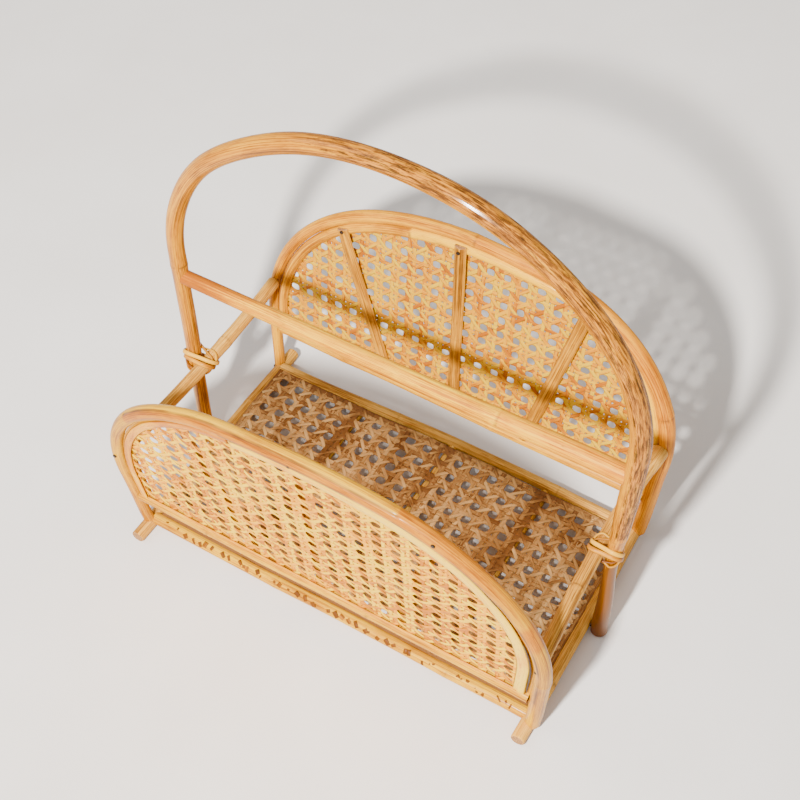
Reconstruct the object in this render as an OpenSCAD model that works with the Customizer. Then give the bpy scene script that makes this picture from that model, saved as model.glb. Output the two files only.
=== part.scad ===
// Rattan magazine rack: two caned end hoops on a caned floor, with a tall
// carrying hoop and a divider bar between them.  Millimetres, +Z up, +X along
// the length, +Y from the front panel to the back panel.  The origin is on the
// floor under the middle of the rack.

/* [Base] */
// Distance from the middle of one runner to the middle of the other
runner_spacing = 377; // [373:1:377]
// Length of each runner, front to back
runner_length = 250; // [236:1:280]
// Diameter of each runner
runner_d = 12.5; // [11.5:0.5:12.5]
// Diameter of the front and back base rails
base_rail_d = 11; // [10:0.5:12]
// Distance of each base rail from the middle of the rack
base_rail_y = 102; // [98:1:102]
// Height of the middle of the base rails
base_rail_z = 8.5; // [8:0.5:9]
// Diameter of the three bars under the floor cane
cross_bar_d = 9; // [8:0.5:9]
// Distance between neighbouring cross bars
cross_bar_pitch = 97; // [80:1:100]
// Sideways shift of the middle cross bar from the middle of the rack
cross_bar_shift = 5; // [0:1:8]
// Thickness of the woven floor
floor_t = 2; // [1.5:0.5:2]

/* [Handle] */
// Diameter of the handle pole
handle_d = 16; // [14:0.5:16]
// Distance of each handle foot from the middle of the rack
handle_foot_x = 203; // [203:1:206]
// Distance of each handle leg from the middle where the arch begins
handle_spring_x = 199.5; // [198:0.5:202]
// Height at which the arch of the handle begins
handle_spring_z = 244; // [236:1:260]
// Height of the middle of the pole at the top of the handle
handle_top_z = 422; // [410:1:440]
// Radius of the handle's corners
handle_corner_r = 167; // [140:1:170]
// Diameter of the divider bar
divider_d = 15; // [13:0.5:15]
// Height of the middle of the divider bar
divider_z = 220; // [200:1:226]

/* [Panels] */
// Distance of each hoop's feet from the middle of the rack
panel_foot_y = 106; // [106:1:112]
// Outward lean of each panel, in degrees
panel_lean = 5.3; // [3:0.1:7]
// Diameter of the outer hoop
hoop_d = 12; // [11:0.5:12]
// Distance of each hoop foot from the middle of the rack
hoop_foot_x = 191.5; // [190:0.5:192]
// Half the width of the hoop where its arch begins
hoop_spring_x = 195; // [194:0.5:197]
// Distance up the panel of the middle of the hoop's crown
hoop_top_v = 239.5; // [236:0.5:246]
// Distance up the panel at which the arch begins on the right
right_spring_v = 83; // [76:1:88]
// Radius of the hoop's right corner
right_corner_r = 147; // [136:1:148]
// Distance up the panel at which the arch begins on the left
left_spring_v = 70; // [66:1:78]
// Radius of the hoop's left corner
left_corner_r = 154; // [146:1:156]
// Distance from the middle of the outer hoop to the middle of the inner hoop
inner_hoop_inset = 11.5; // [11:0.5:13]
// Width of the half round inner hoop
inner_hoop_d = 9; // [8:0.5:9]
// Thickness of the cane webbing in the panels
cane_t = 1.5; // [1:0.1:1.5]
// Width of the flat binder strip
binder_w = 8; // [6:0.5:9]
// Thickness of the flat binder strip
binder_t = 1.6; // [1.2:0.1:2]
// Diameter of each panel's bottom rail
panel_rail_d = 11; // [10:0.5:11]
// Distance up the panel of the middle of its bottom rail
panel_rail_v = 40.5; // [36:0.5:46]
// How much higher the left end of the back panel's rail is than its right end
back_rail_rise = 7; // [0:0.5:8]
// Width of each half round rib
rib_d = 10.5; // [8:0.5:11]

/* [Arms] */
// Diameter of the arm rails
arm_d = 12; // [11:0.5:12]
// Height of the middle of the arm rails
arm_z = 119; // [110:1:126]
// How far the handle legs press the middle of each arm rail inwards
arm_bow = 4; // [3:0.5:5]
// Width of the cane that lashes the handle to the arm rails
lashing_w = 3.6; // [3:0.1:4]
// Thickness of that cane
lashing_t = 1.6; // [1.2:0.1:1.8]

/* [Nails] */
// Diameter of a nail head
nail_head_d = 3.2; // [2.6:0.1:3.4]
// Diameter of a nail shank
nail_d = 1.4; // [1.2:0.1:1.6]

/* [Hidden] */
$fn = 48;
runner_x = runner_spacing / 2;
runner_z = runner_d / 2;
nail_head_t = 0.9;
nail_head_sunk = 0.5;
play = 0.1;
hoop_tail = 6;
pole_seg = 64;
outline_steps = 14;
ring_swell = 0.5;
ring_length = 3;

// Every rib leans: its foot and its head, measured sideways from the middle
rib_foot_x = [-69, -1, 71];
rib_head_x = [-119, -8, 107];
inner_hoop_shaved = 0.4;
rib_depth = 4.4;
rib_head_w = 5.5;
rib_foot_w = 0.9;
rib_head_over = 5;
rib_toe = 3;

// The inner hoop follows the outer hoop at a constant distance.  It is shaved
// a little past its middle
inner_spring_x = hoop_spring_x - inner_hoop_inset;
inner_top_v = hoop_top_v - inner_hoop_inset;
inner_left_r = left_corner_r - inner_hoop_inset;
inner_right_r = right_corner_r - inner_hoop_inset;
inner_foot_x = inner_spring_x - 2;
inner_foot_v = panel_rail_v - 4;

// The handle leg leans in a little, so its place depends on the height
function handle_x(z) = handle_foot_x + (handle_spring_x - handle_foot_x) * z / handle_spring_z;
arm_mid_x = handle_x(arm_z) - handle_d / 2 - arm_d / 2 - play;
arm_half_y = panel_foot_y + (arm_z - runner_d) * tan(panel_lean) - hoop_d / 2 - 0.4;
arm_r = (arm_half_y * arm_half_y + arm_bow * arm_bow) / (2 * arm_bow);

// An arch is a pair of straight legs, two corner arcs and one crown arc, all
// tangent: [lean of leg, corner centre x, corner centre z, angle where the
// crown begins, crown radius, crown centre z, length of leg]
function arch(foot_x, foot_z, spring_x, spring_z, top_z, corner_r) =
    let (lean = atan2(foot_x - spring_x, spring_z - foot_z))
    let (cx = spring_x - corner_r * cos(lean))
    let (cz = spring_z - corner_r * sin(lean))
    let (crown_from = 90 - 2 * atan((top_z - cz - corner_r) / cx))
    let (reach = cx / cos(crown_from))
    let (leg = norm([foot_x - spring_x, spring_z - foot_z]))
    [lean, cx, cz, crown_from, corner_r + reach, cz - reach * sin(crown_from), leg];

handle_arch = arch(handle_foot_x, 0, handle_spring_x, handle_spring_z, handle_top_z, handle_corner_r);
hoop_left = arch(hoop_foot_x, 0, hoop_spring_x, left_spring_v, hoop_top_v, left_corner_r);
hoop_right = arch(hoop_foot_x, 0, hoop_spring_x, right_spring_v, hoop_top_v, right_corner_r);
inner_left = arch(inner_foot_x, inner_foot_v, inner_spring_x, left_spring_v, inner_top_v, inner_left_r);
inner_right = arch(inner_foot_x, inner_foot_v, inner_spring_x, right_spring_v, inner_top_v, inner_right_r);

// Height of the crown above the point x, for an arch with these two halves
function crown_z(left, right, x) =
    let (a = x < 0 ? left : right)
    a[5] + sqrt(a[4] * a[4] - x * x);

// Points round one half of the inner hoop, grown by g, from its leg to its crown
function half_outline(a, corner_r, g) = concat(
    [[inner_foot_x + g, inner_foot_v]],
    [for (i = [0:outline_steps])
        let (t = a[0] + (a[3] - a[0]) * i / outline_steps)
        [a[1] + (corner_r + g) * cos(t), a[2] + (corner_r + g) * sin(t)]],
    [for (i = [1:outline_steps])
        let (t = a[3] + (90 - a[3]) * i / outline_steps)
        [(a[4] + g) * cos(t), a[5] + (a[4] + g) * sin(t)]]);

// The whole outline, from foot to foot
function arch_outline(g) =
    let (left = half_outline(inner_left, inner_left_r, g))
    concat(half_outline(inner_right, inner_right_r, g),
        [for (i = [len(left) - 2:-1:0]) [-left[i][0], left[i][1]]]);

// ---- shared shapes ----

// The right half of a round pole bent into an arch, with a growth ring of the
// cane at the foot and the head of its corner and on its crown
module half_arch(a, corner_r, foot, tail, d) {
    translate([foot[0], 0, foot[1]])
        rotate([0, -a[0], 0])
            translate([0, 0, -tail])
                bar(d, a[6] + tail);
    translate([a[1], 0, a[2]])
        bend(corner_r, a[0], a[3], d);
    translate([0, 0, a[5]])
        bend(a[4], a[3], 90, d);
}

// A bent length of pole between two angles, with a ring at each end
module bend(r, from, to, d) {
    rotate([90, 0, 0]) {
        rotate([0, 0, from])
            rotate_extrude(angle = to - from, $fn = pole_seg * 2)
                translate([r, 0])
                    circle(d = d, $fn = pole_seg);
        for (t = [from, to])
            rotate([0, 0, t])
                translate([r, 0, 0])
                    rotate([90, 0, 0])
                        growth_ring(d);
    }
}

// A whole arch from its two halves
module arch_pole(left, left_r, right, right_r, foot, tail, d) {
    half_arch(right, right_r, foot, tail, d);
    mirror([1, 0, 0])
        half_arch(left, left_r, foot, tail, d);
}

// The swollen ring where a leaf grew
module growth_ring(d) {
    cylinder(d = d + ring_swell, h = ring_length, center = true, $fn = pole_seg);
}

// A round bar along +Z
module bar(d, length) {
    cylinder(d = d, h = length, $fn = pole_seg);
}

// A round bar along X, centred at the height z and the depth y
module bar_x(d, length, y, z) {
    translate([-length / 2, y, z])
        rotate([0, 90, 0])
            bar(d, length);
}

// A round bar along Y, centred
module bar_y(d, length, x, z) {
    translate([x, length / 2, z])
        rotate([90, 0, 0])
            bar(d, length);
}

// Places its children in the frame of the back panel: +Z runs up the lean and
// +Y points outwards, with the origin between the hoop's feet
module back_frame() {
    translate([0, panel_foot_y, runner_d])
        rotate([-panel_lean, 0, 0])
            children();
}

// The same for the front panel
module front_frame() {
    mirror([0, 1, 0])
        back_frame()
            children();
}

// A nail along +Z with its head's underside at the origin
module nail(length) {
    translate([0, 0, -nail_head_t])
        cylinder(d = nail_head_d, h = nail_head_t, $fn = 24);
    cylinder(d = nail_d, h = length, $fn = 16);
}

// Copies its children at the four corners of the rack
module four_corners() {
    for (sx = [0, 1])
        for (sy = [0, 1])
            mirror([sx, 0, 0])
                mirror([0, sy, 0])
                    children();
}

// Copies its children on the left and on the right
module two_sides() {
    children();
    mirror([1, 0, 0])
        children();
}

// ---- nails ----

module divider_nail_set() {
    two_sides()
        translate([handle_x(divider_z) + handle_d / 2 - nail_head_sunk, 0, divider_z])
            rotate([0, -90, 0])
                nail(27);
}

module runner_nail_set() {
    two_sides()
        translate([runner_x - runner_d / 2 + nail_head_sunk, -3, runner_z + 1])
            rotate([0, 90, 0])
                nail(20);
}

module hoop_foot_nail_set() {
    four_corners()
        translate([hoop_foot_x - 1.5, panel_foot_y + 0.5, 1.2])
            nail(26);
}

module arm_nail_set() {
    four_corners()
        translate([arm_mid_x + arm_bow + 1.5, arm_half_y + hoop_d + 0.2 - nail_head_sunk, arm_z])
            rotate([90, 0, 0])
                nail(24);
}

module base_rail_nail_set() {
    four_corners()
        translate([runner_x + runner_d / 2 - nail_head_sunk, base_rail_y, runner_z + 1])
            rotate([0, -90, 0])
                nail(24);
}

// Two nails a rib: one into the inner hoop and a slanting one into the rail
module rib_nail_set(rise) {
    for (i = [0:2]) {
        head_v = rib_head_v(i) - rib_head_over;
        head_x = rib_axis_x(i, head_v, rise);
        translate([head_x, -rib_head_w - rib_depth + nail_head_sunk, head_v])
            rotate([-90, 0, 0])
                nail(7.4);
        foot_v = rail_v(rib_foot_x[i], rise) + 9.5;
        translate([rib_axis_x(i, foot_v, rise), -rib_foot_w - rib_depth + nail_head_sunk, foot_v])
            rotate([-143, 0, 0])
                nail(12);
    }
}

// Nails that close the long splices of the front hoop
module hoop_splice_nail_set() {
    for (x = [-4, 110])
        translate([x, hoop_d / 2 - nail_head_sunk, crown_z(hoop_left, hoop_right, x)])
            rotate([90, 0, 0])
                nail(9);
}

// ---- base ----

module runner(side) {
    difference() {
        bar_y(runner_d, runner_length, side * runner_x, runner_z);
        runner_nail_set();
        hoop_foot_nail_set();
        base_rail_nail_set();
    }
}

module runner_pair() {
    for (side = [-1, 1])
        bar_y(runner_d, runner_length + 4, side * runner_x, runner_z);
}

module base_rail(side) {
    difference() {
        bar_x(base_rail_d, runner_spacing - 2, side * base_rail_y, base_rail_z);
        runner_pair();
        base_rail_nail_set();
    }
}

module cross_bar(i) {
    difference() {
        bar_y(cross_bar_d, 2 * base_rail_y, cross_bar_shift + i * cross_bar_pitch, cross_bar_d / 2 + 1.5);
        for (side = [-1, 1])
            bar_x(base_rail_d, runner_spacing, side * base_rail_y, base_rail_z);
    }
}

module left_runner() color("peru") runner(-1);
module right_runner() color("peru") runner(1);
module base_front_rail() color("burlywood") base_rail(-1);
module base_back_rail() color("burlywood") base_rail(1);
module base_cross_bar_left() color("peru") cross_bar(-1);
module base_cross_bar_middle() color("peru") cross_bar(0);
module base_cross_bar_right() color("peru") cross_bar(1);

module floor_cane() {
    floor_x = runner_x - 4.7;
    floor_y = base_rail_y - 5.3;
    color("tan")
        translate([-floor_x, -floor_y, cross_bar_d + 1.6])
            cube([2 * floor_x, 2 * floor_y, floor_t]);
}

// ---- handle ----

module handle_pole() {
    foot = [handle_foot_x, 0];
    arch_pole(handle_arch, handle_corner_r, handle_arch, handle_corner_r, foot, hoop_tail, handle_d);
}

module handle_hoop() {
    color("sandybrown")
        difference() {
            handle_pole();
            translate([-250, -50, -50])
                cube([500, 100, 50]);
            divider_nail_set();
            runner_nail_set();
        }
}

// The bar's ends are scooped to sit against the handle legs
module divider_bar() {
    color("wheat")
        difference() {
            bar_x(divider_d, 2 * handle_x(divider_z), 0, divider_z);
            two_sides()
                translate([handle_foot_x, 0, 0])
                    rotate([0, -handle_arch[0], 0])
                        bar(handle_d, handle_spring_z);
            divider_nail_set();
        }
}

// ---- arm rails and lashings ----

// Each rail is a long shallow arc, pressed inwards in its middle
module arm_rail() {
    half_angle = asin(arm_half_y / arm_r);
    difference() {
        translate([arm_mid_x + arm_r, 0, arm_z])
            rotate([0, 0, 180 - half_angle])
                rotate_extrude(angle = 2 * half_angle, $fn = 1500)
                    translate([arm_r, 0])
                        circle(d = arm_d, $fn = pole_seg);
        arm_nail_set();
    }
}

module right_arm_rail() color("peru") arm_rail();
module left_arm_rail() color("peru") mirror([1, 0, 0]) arm_rail();

// One turn of cane runs in a sloping plane round the handle leg and the arm
// rail.  slope is the plane's angle from upright, offset its shift sideways and
// lift the gap between the cane's middle and the poles.
turn_steps = 28;
section_steps = 8;
lashing_slope = 42;
lashing_step = 2.1;
function turn_point(k, slope, offset, lift) =
    let (t = 360 * k / turn_steps)
    let (on_leg = cos(t) > 0)
    let (middle_x = on_leg ? handle_x(arm_z) : arm_mid_x)
    let (r = (on_leg ? handle_d : arm_d) / 2)
    let (stretch = on_leg ? abs(1 / sin(slope)) : 1 / cos(slope))
    let (shift = on_leg ? -offset / tan(slope) : offset * tan(slope))
    let (along = shift + (r * stretch + lift) * sin(t))
    [middle_x + (r + lift) * cos(t),
     along * sin(slope) + offset * cos(slope),
     arm_z + along * cos(slope) - offset * sin(slope)];

module lashing_turn(slope, offset, lift) {
    across = [0, cos(slope), -sin(slope)];
    ring = [for (k = [0:turn_steps - 1]) turn_point(k, slope, offset, lift)];
    points = [for (k = [0:turn_steps - 1])
        let (ahead = ring[(k + 1) % turn_steps] - ring[(k + turn_steps - 1) % turn_steps])
        let (out = cross(across, ahead) / norm(ahead))
        for (j = [0:section_steps - 1])
            let (a = 360 * j / section_steps)
            ring[k] + out * (lashing_t / 2) * cos(a) + across * (lashing_w / 2) * sin(a)];
    faces = [for (k = [0:turn_steps - 1])
        for (j = [0:section_steps - 1])
            let (n = section_steps)
            let (next_k = (k + 1) % turn_steps)
            let (next_j = (j + 1) % n)
            [k * n + j, next_k * n + j, next_k * n + next_j, k * n + next_j]];
    polyhedron(points, faces, convexity = 4);
}

// Two turns each way, the second pair lying over the first
module lashing() {
    for (offset = [-1, 1]) {
        lashing_turn(lashing_slope, offset * lashing_step, lashing_t / 2 + 0.2);
        lashing_turn(-lashing_slope, offset * lashing_step, lashing_t * 1.5 + 1);
    }
}

module right_lashing() color("burlywood") lashing();
module left_lashing() color("burlywood") mirror([1, 0, 0]) lashing();

// ---- panels ----

module outer_hoop() {
    difference() {
        back_frame()
            arch_pole(hoop_left, left_corner_r, hoop_right, right_corner_r, [hoop_foot_x, 0], hoop_tail, hoop_d);
        runner_pair();
        hoop_foot_nail_set();
        arm_nail_set();
    }
}

// Half round, with its flat side against the cane and its round side inwards
module inner_hoop(rise) {
    foot = [inner_foot_x, inner_foot_v];
    difference() {
        translate([0, inner_hoop_shaved - cane_t / 2, 0])
            arch_pole(inner_left, inner_left_r, inner_right, inner_right_r, foot, 0, inner_hoop_d);
        translate([-hoop_foot_x * 2, -cane_t / 2, 0])
            cube([hoop_foot_x * 4, inner_hoop_d, hoop_top_v * 2]);
        rail_and_below(rise);
        rib_nail_set(rise);
    }
}

// The flat strip covers the cane's edge, over the inner hoop
module binder(rise) {
    difference() {
        translate([0, cane_t / 2 + binder_t, 0])
            rotate([90, 0, 0])
                linear_extrude(binder_t)
                    difference() {
                        polygon(arch_outline(binder_w / 2));
                        polygon(arch_outline(-binder_w / 2));
                    }
        rail_and_below(rise);
    }
}

// The rail may slope: its left end is higher than its right end by rise
function rail_v(x, rise) = panel_rail_v + rise * (hoop_foot_x - x) / (2 * hoop_foot_x);
function rail_slope(rise) = atan2(rise, 2 * hoop_foot_x);

module on_rail(rise) {
    translate([0, 0, rail_v(0, rise)])
        rotate([0, rail_slope(rise), 0])
            children();
}

module bottom_rail_blank(rise) {
    on_rail(rise)
        bar_x(panel_rail_d, 2 * hoop_foot_x, 0, 0);
}

// The rail and the space under its middle line, cut from what ends on it
module rail_and_below(rise) {
    bottom_rail_blank(rise);
    on_rail(rise)
        translate([-hoop_foot_x - 20, -15, -30])
            cube([2 * hoop_foot_x + 40, 30, 30]);
}

module bottom_rail(rise) {
    difference() {
        bottom_rail_blank(rise);
        two_sides()
            translate([hoop_foot_x, 0, 0])
                rotate([0, -hoop_right[0], 0])
                    bar(hoop_d, right_spring_v);
        rib_nail_set(rise);
    }
}

function rib_head_v(i) = crown_z(inner_left, inner_right, rib_head_x[i]) + rib_head_over;
function rib_axis_x(i, v, rise) =
    let (foot_v = rail_v(rib_foot_x[i], rise))
    rib_foot_x[i] + (rib_head_x[i] - rib_foot_x[i]) * (v - foot_v) / (rib_head_v(i) - foot_v);

// A half round rib leans in from the rail's top to lie over the inner hoop
module rib(i, rise) {
    foot_v = rail_v(rib_foot_x[i], rise);
    up = rib_head_v(i) - foot_v;
    inwards = rib_head_w - rib_foot_w;
    run = rib_head_x[i] - rib_foot_x[i];
    difference() {
        translate([rib_foot_x[i], -rib_foot_w, foot_v])
            rotate([atan2(inwards, up), 0, 0])
                rotate([0, atan2(run, norm([up, inwards])), 0])
                    linear_extrude(norm([run, up, inwards]))
                        rib_section();
        bottom_rail_blank(rise);
        translate([rib_foot_x[i], 0, foot_v + rib_toe])
            rotate([-45, 0, 0])
                translate([-20, -20, -40])
                    cube(40);
        rib_nail_set(rise);
    }
}

module rib_section() {
    intersection() {
        translate([0, rib_d / 2 - rib_depth])
            circle(d = rib_d, $fn = pole_seg);
        translate([-rib_d, -2 * rib_d])
            square(2 * rib_d);
    }
}

// The webbing fills the inner hoop down to the bottom rail
module cane(rise) {
    difference() {
        translate([0, cane_t / 2, 0])
            rotate([90, 0, 0])
                linear_extrude(cane_t)
                    polygon(arch_outline(0));
        rail_and_below(rise);
    }
}

module front_outer_hoop() {
    color("burlywood")
        difference() {
            mirror([0, 1, 0]) outer_hoop();
            front_frame() hoop_splice_nail_set();
        }
}
module back_outer_hoop() color("sandybrown") outer_hoop();
module front_inner_hoop() color("navajowhite") front_frame() inner_hoop(0);
module back_inner_hoop() color("goldenrod") back_frame() inner_hoop(back_rail_rise);
module front_bottom_rail() color("burlywood") front_frame() bottom_rail(0);
module back_bottom_rail() color("peru") back_frame() bottom_rail(back_rail_rise);
module front_rib_left() color("sandybrown") front_frame() rib(0, 0);
module front_rib_middle() color("sandybrown") front_frame() rib(1, 0);
module front_rib_right() color("sandybrown") front_frame() rib(2, 0);
module back_rib_left() color("sandybrown") back_frame() rib(0, back_rail_rise);
module back_rib_middle() color("sandybrown") back_frame() rib(1, back_rail_rise);
module back_rib_right() color("sandybrown") back_frame() rib(2, back_rail_rise);
module front_cane() color("moccasin") front_frame() cane(0);
module back_cane() color("gold") back_frame() cane(back_rail_rise);
module front_binder() color("antiquewhite") front_frame() binder(0);
module back_binder() color("antiquewhite") back_frame() binder(back_rail_rise);

// A flat strip over the lower edge of the front webbing, against the rail's top
module front_bottom_binder() {
    length = 2 * (inner_foot_x - binder_w);
    bottom = panel_rail_v + panel_rail_d / 2 - 1.5;
    color("antiquewhite")
        front_frame()
            difference() {
                translate([-length / 2, cane_t / 2, bottom])
                    cube([length, binder_t, 4.5]);
                bottom_rail_blank(0);
            }
}

module divider_nails() color("dimgray") divider_nail_set();
module runner_nails() color("dimgray") runner_nail_set();
module hoop_foot_nails() color("dimgray") hoop_foot_nail_set();
module arm_nails() color("dimgray") arm_nail_set();
module base_rail_nails() color("dimgray") base_rail_nail_set();
module front_rib_nails() color("dimgray") front_frame() rib_nail_set(0);
module back_rib_nails() color("dimgray") back_frame() rib_nail_set(back_rail_rise);
module hoop_splice_nails() color("dimgray") front_frame() hoop_splice_nail_set();

handle_hoop();
divider_bar();
left_arm_rail();
right_arm_rail();
left_runner();
right_runner();
base_front_rail();
base_back_rail();
base_cross_bar_left();
base_cross_bar_middle();
base_cross_bar_right();
floor_cane();
front_outer_hoop();
front_inner_hoop();
front_bottom_rail();
front_rib_left();
front_rib_middle();
front_rib_right();
front_cane();
front_binder();
front_bottom_binder();
back_outer_hoop();
back_inner_hoop();
back_bottom_rail();
back_rib_left();
back_rib_middle();
back_rib_right();
back_cane();
back_binder();
left_lashing();
right_lashing();
divider_nails();
runner_nails();
hoop_foot_nails();
arm_nails();
base_rail_nails();
front_rib_nails();
back_rib_nails();
hoop_splice_nails();
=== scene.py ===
import math

import bpy
import numpy as np
from mathutils import Matrix, Vector


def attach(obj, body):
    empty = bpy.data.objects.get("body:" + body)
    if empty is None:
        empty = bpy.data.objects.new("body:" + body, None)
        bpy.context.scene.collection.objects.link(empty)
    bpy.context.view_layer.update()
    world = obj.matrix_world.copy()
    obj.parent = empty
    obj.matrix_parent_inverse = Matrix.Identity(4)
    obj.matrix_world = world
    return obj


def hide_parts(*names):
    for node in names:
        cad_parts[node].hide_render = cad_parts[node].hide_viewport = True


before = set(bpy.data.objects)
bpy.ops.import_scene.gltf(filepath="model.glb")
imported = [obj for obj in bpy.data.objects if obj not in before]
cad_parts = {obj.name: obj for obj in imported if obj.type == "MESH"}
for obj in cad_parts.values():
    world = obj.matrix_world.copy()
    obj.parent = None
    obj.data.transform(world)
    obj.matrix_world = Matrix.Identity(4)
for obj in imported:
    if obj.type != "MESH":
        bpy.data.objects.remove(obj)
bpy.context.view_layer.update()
ROOT = "root"
TAU = 2 * math.pi
Y_AXIS = np.array([0.0, 1.0, 0.0])
Z_AXIS = (0, 0, 1)

# ---------------------------------------------------------------- dimensions
# Metres, repeated from the CAD.
LEAN = math.radians(5.3)
PANEL_Y = 0.106
RUNNER_D = 0.0125
HANDLE_ARCH = dict(foot_x=0.203, foot_z=0.0, spring_x=0.1995, spring_z=0.244, top_z=0.422, corner_r=0.167)
# Each hoop is bent by hand, so its two halves differ a little
HOOP_HALVES = {
    "front": (dict(foot_x=0.1895, foot_z=0.0, spring_x=0.1945, spring_z=0.076, top_z=0.240, corner_r=0.150),
              dict(foot_x=0.1920, foot_z=0.0, spring_x=0.1962, spring_z=0.083, top_z=0.240, corner_r=0.146)),
    "back": (dict(foot_x=0.1910, foot_z=0.0, spring_x=0.1945, spring_z=0.067, top_z=0.2385, corner_r=0.156),
             dict(foot_x=0.1912, foot_z=0.0, spring_x=0.1950, spring_z=0.083, top_z=0.2385, corner_r=0.146)),
}
INSET = 0.0115
INNER_INSET = {"front": 0.0115, "back": 0.0103}
RAIL_V = 0.0405
BACK_RISE = 0.007
DIVIDER_Z = 0.220
ARM_Z = 0.119
ARM_D = 0.012
ARM_BOW = 0.004
RUNNER_X = 0.1885
BASE_RAIL_Y = 0.102
BASE_RAIL_Z = 0.0085
FLOOR_Z = 0.0116


def handle_x(z):
    return 0.203 - 0.0035 * z / 0.244


# ---------------------------------------------------------------- small tools
def smooth(lo, hi, x):
    t = np.clip((np.asarray(x, float) - lo) / (hi - lo), 0, 1)
    return t * t * (3 - 2 * t)


def wander(x, step, seed):
    """Smooth random curve of unit size, sampled at x, with a new value every step."""
    knots = np.random.default_rng(seed).uniform(-1, 1, 4096)
    t = np.asarray(x, float) / step + 1024
    i = np.floor(t).astype(int)
    f = t - i
    f = f * f * (3 - 2 * f)
    return knots[i % 4096] * (1 - f) + knots[(i + 1) % 4096] * f


def resample(points, step):
    """The same line with points every step."""
    points = np.asarray(points, float)
    d = np.r_[0, np.cumsum(np.linalg.norm(np.diff(points, axis=0), axis=1))]
    n = max(2, int(round(d[-1] / step)) + 1)
    s = np.linspace(0, d[-1], n)
    return np.stack([np.interp(s, d, points[:, k]) for k in range(points.shape[1])], 1)


def arch_half(foot_x, foot_z, spring_x, spring_z, top_z, corner_r, inset=0.0, start=None):
    """The right half of an arch from foot to crown, as (x, z), inset inwards."""
    lean = math.atan2(foot_x - spring_x, spring_z - foot_z)
    cx = spring_x - corner_r * math.cos(lean)
    cz = spring_z - corner_r * math.sin(lean)
    crown_from = math.pi / 2 - 2 * math.atan((top_z - cz - corner_r) / cx)
    reach = cx / math.cos(crown_from)
    crown_r = corner_r + reach
    crown_cz = cz - reach * math.sin(crown_from)
    start = foot_z if start is None else start
    low_x = foot_x + (spring_x - foot_x) * (start - foot_z) / (spring_z - foot_z)
    leg = [(low_x + (spring_x - low_x) * t - inset * math.cos(lean), start + (spring_z - start) * t)
           for t in np.linspace(0, 1, 40)[:-1]]
    corner = [(cx + (corner_r - inset) * math.cos(t), cz + (corner_r - inset) * math.sin(t))
              for t in np.linspace(lean, crown_from, 120)[:-1]]
    crown = [((crown_r - inset) * math.cos(t), crown_cz + (crown_r - inset) * math.sin(t))
             for t in np.linspace(crown_from, math.pi / 2, 120)]
    return np.array(leg + corner + crown)


def arch_line(left, right, inset=0.0, start=None):
    """Left foot to right foot, as (x, z), from the two halves of an arch."""
    a = arch_half(**left, inset=inset, start=start)
    b = arch_half(**right, inset=inset, start=start)
    return np.vstack([a * [-1, 1], b[::-1][1:]])


def panel_point(u, v, w, side):
    """A point of a panel in world space: u sideways, v up the lean, w outwards."""
    u, v, w = np.broadcast_arrays(np.asarray(u, float), v, w)
    y = PANEL_Y + v * math.sin(LEAN) + w * math.cos(LEAN)
    z = RUNNER_D + v * math.cos(LEAN) - w * math.sin(LEAN)
    return np.stack([u, side * y, z], -1)


def rail_v(label, u):
    """Height of a panel's bottom rail, which slopes on the back panel."""
    return RAIL_V + (BACK_RISE if label == "back" else 0.0) * (0.1915 - np.asarray(u, float)) / 0.383


def panel_out(side):
    return np.array([0, side * math.cos(LEAN), -math.sin(LEAN)])


def make_mesh(name, co, faces, attributes=None, material=None, replaces=()):
    """A smooth-shaded mesh from quads and triangles, riding on the rack."""
    me = bpy.data.meshes.new(name)
    co = np.asarray(co, np.float32)
    faces = [np.asarray(f, np.int32) for f in faces if len(f)]
    me.vertices.add(len(co))
    me.vertices.foreach_set("co", co.ravel())
    loops = np.concatenate([f.ravel() for f in faces])
    sizes = np.concatenate([np.full(len(f), f.shape[1], np.int32) for f in faces])
    me.loops.add(len(loops))
    me.loops.foreach_set("vertex_index", loops)
    me.polygons.add(len(sizes))
    me.polygons.foreach_set("loop_start", np.r_[0, np.cumsum(sizes)[:-1]].astype(np.int32))
    me.polygons.foreach_set("loop_total", sizes)
    me.polygons.foreach_set("use_smooth", np.ones(len(sizes), bool))
    for key, values in (attributes or {}).items():
        values = np.asarray(values, np.float32)
        vector = values.ndim == 2
        a = me.attributes.new(key, "FLOAT_VECTOR" if vector else "FLOAT", "POINT")
        a.data.foreach_set("vector" if vector else "value", values.ravel())
    me.update()
    me.validate()
    ob = bpy.data.objects.new(name, me)
    bpy.context.scene.collection.objects.link(ob)
    if material:
        me.materials.append(material)
    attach(ob, ROOT)
    if replaces:
        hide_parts(*replaces)
    return ob


def grid_faces(rings, around, base=0):
    """Quads between rings of points that each go round a section."""
    i = np.arange(rings - 1)[:, None] * around
    j = np.arange(around)[None, :]
    a = base + i + j
    b = base + i + (j + 1) % around
    return np.stack([a, b, b + around, a + around], -1).reshape(-1, 4)


# ---------------------------------------------------------------- poles
POLE_STEP = 0.0012
CAP_RINGS = ((0.965, 0.00035), (0.88, 0.0006), (0.6, 0.0006), (0.3, 0.00055))


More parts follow.
